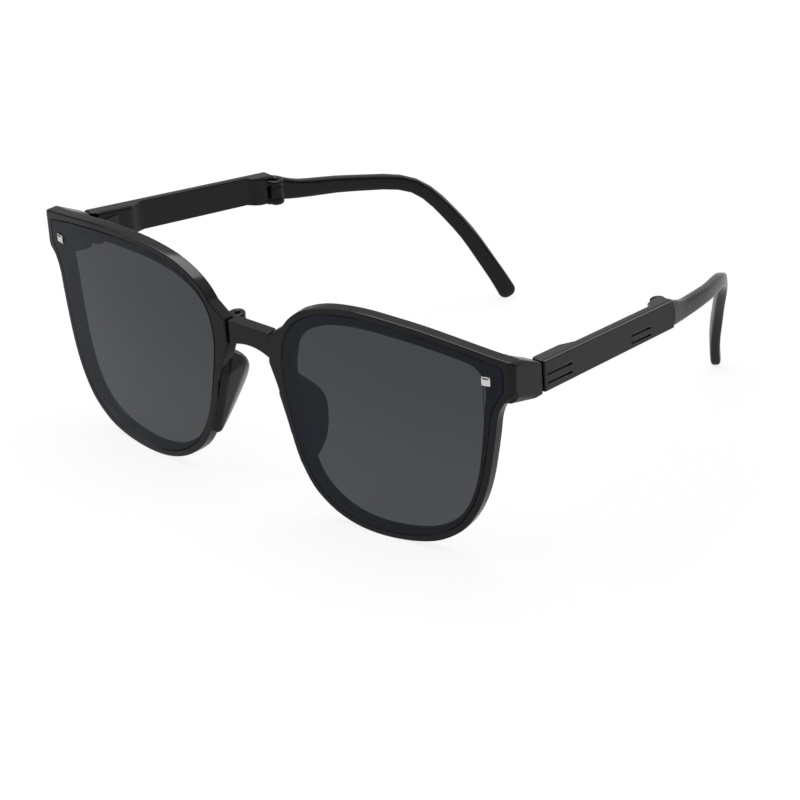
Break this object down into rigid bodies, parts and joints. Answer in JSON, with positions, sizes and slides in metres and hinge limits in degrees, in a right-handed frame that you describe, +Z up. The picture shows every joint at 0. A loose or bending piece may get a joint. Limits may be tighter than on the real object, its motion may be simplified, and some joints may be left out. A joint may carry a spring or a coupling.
{
  "type": "folding sunglasses",
  "caption": "Folding sunglasses with a hinged bridge, curved tinted lenses, square studs, and temples that hinge at the end pieces and again at mid length.",
  "frame": {"origin": "centre of the bounding box in X and Y, on the plane the open glasses stand on", "axes": "+Z up, the lenses face -Y, the temples run back to +Y, and +X is the wearer's left side"},
  "size_m": [0.1416, 0.1355, 0.0551],
  "materials": {
    "frame": "polished black acetate-like plastic",
    "lens": "grey tint, darker at the top and paler at the foot",
    "stud": "bright polished",
    "leaf": "blackened, satin",
    "pin": "blackened drawn wire"
  },
  "bodies": {
    "bridge": {"bridge": "frame", "left_bridge_pin": "pin", "right_bridge_pin": "pin"},
    "left_front": {"left_rim": "frame", "left_lens": "lens", "left_stud": "stud", "left_end_leaf": "leaf", "left_hinge_screw": "pin"},
    "left_arm": {"left_arm_leaf": "leaf", "left_front_arm": "frame", "left_middle_pin": "pin"},
    "left_ear": {"left_ear_arm": "frame"},
    "right_front": {"right_rim": "frame", "right_lens": "lens", "right_stud": "stud", "right_end_leaf": "leaf", "right_hinge_screw": "pin"},
    "right_arm": {"right_arm_leaf": "leaf", "right_front_arm": "frame", "right_middle_pin": "pin"},
    "right_ear": {"right_ear_arm": "frame"}
  },
  "joints": [
    {"name": "left_bridge_hinge", "type": "hinge", "parent": "bridge", "child": "left_front", "pos_m": [0.0078, -0.06123, 0.03982], "axis": [0, -0.0936, 0.9956], "range_deg": [0, 18]},
    {"name": "left_temple_hinge", "type": "hinge", "parent": "left_front", "child": "left_arm", "pos_m": [0.06488, -0.04765, 0.04341], "axis": [0, -0.0936, 0.9956], "range_deg": [0, 74]},
    {"name": "left_middle_hinge", "type": "hinge", "parent": "left_arm", "child": "left_ear", "pos_m": [0.05863, 0.00799, 0.03933], "axis": [0, -0.0936, 0.9956], "range_deg": [0, 165]},
    {"name": "right_bridge_hinge", "type": "hinge", "parent": "bridge", "child": "right_front", "pos_m": [-0.0078, -0.06123, 0.03982], "axis": [0, 0.0936, -0.9956], "range_deg": [0, 18]},
    {"name": "right_temple_hinge", "type": "hinge", "parent": "right_front", "child": "right_arm", "pos_m": [-0.06488, -0.04765, 0.04341], "axis": [0, 0.0936, -0.9956], "range_deg": [0, 74]},
    {"name": "right_middle_hinge", "type": "hinge", "parent": "right_arm", "child": "right_ear", "pos_m": [-0.05863, 0.00799, 0.03933], "axis": [0, 0.0936, -0.9956], "range_deg": [0, 165]}
  ]
}
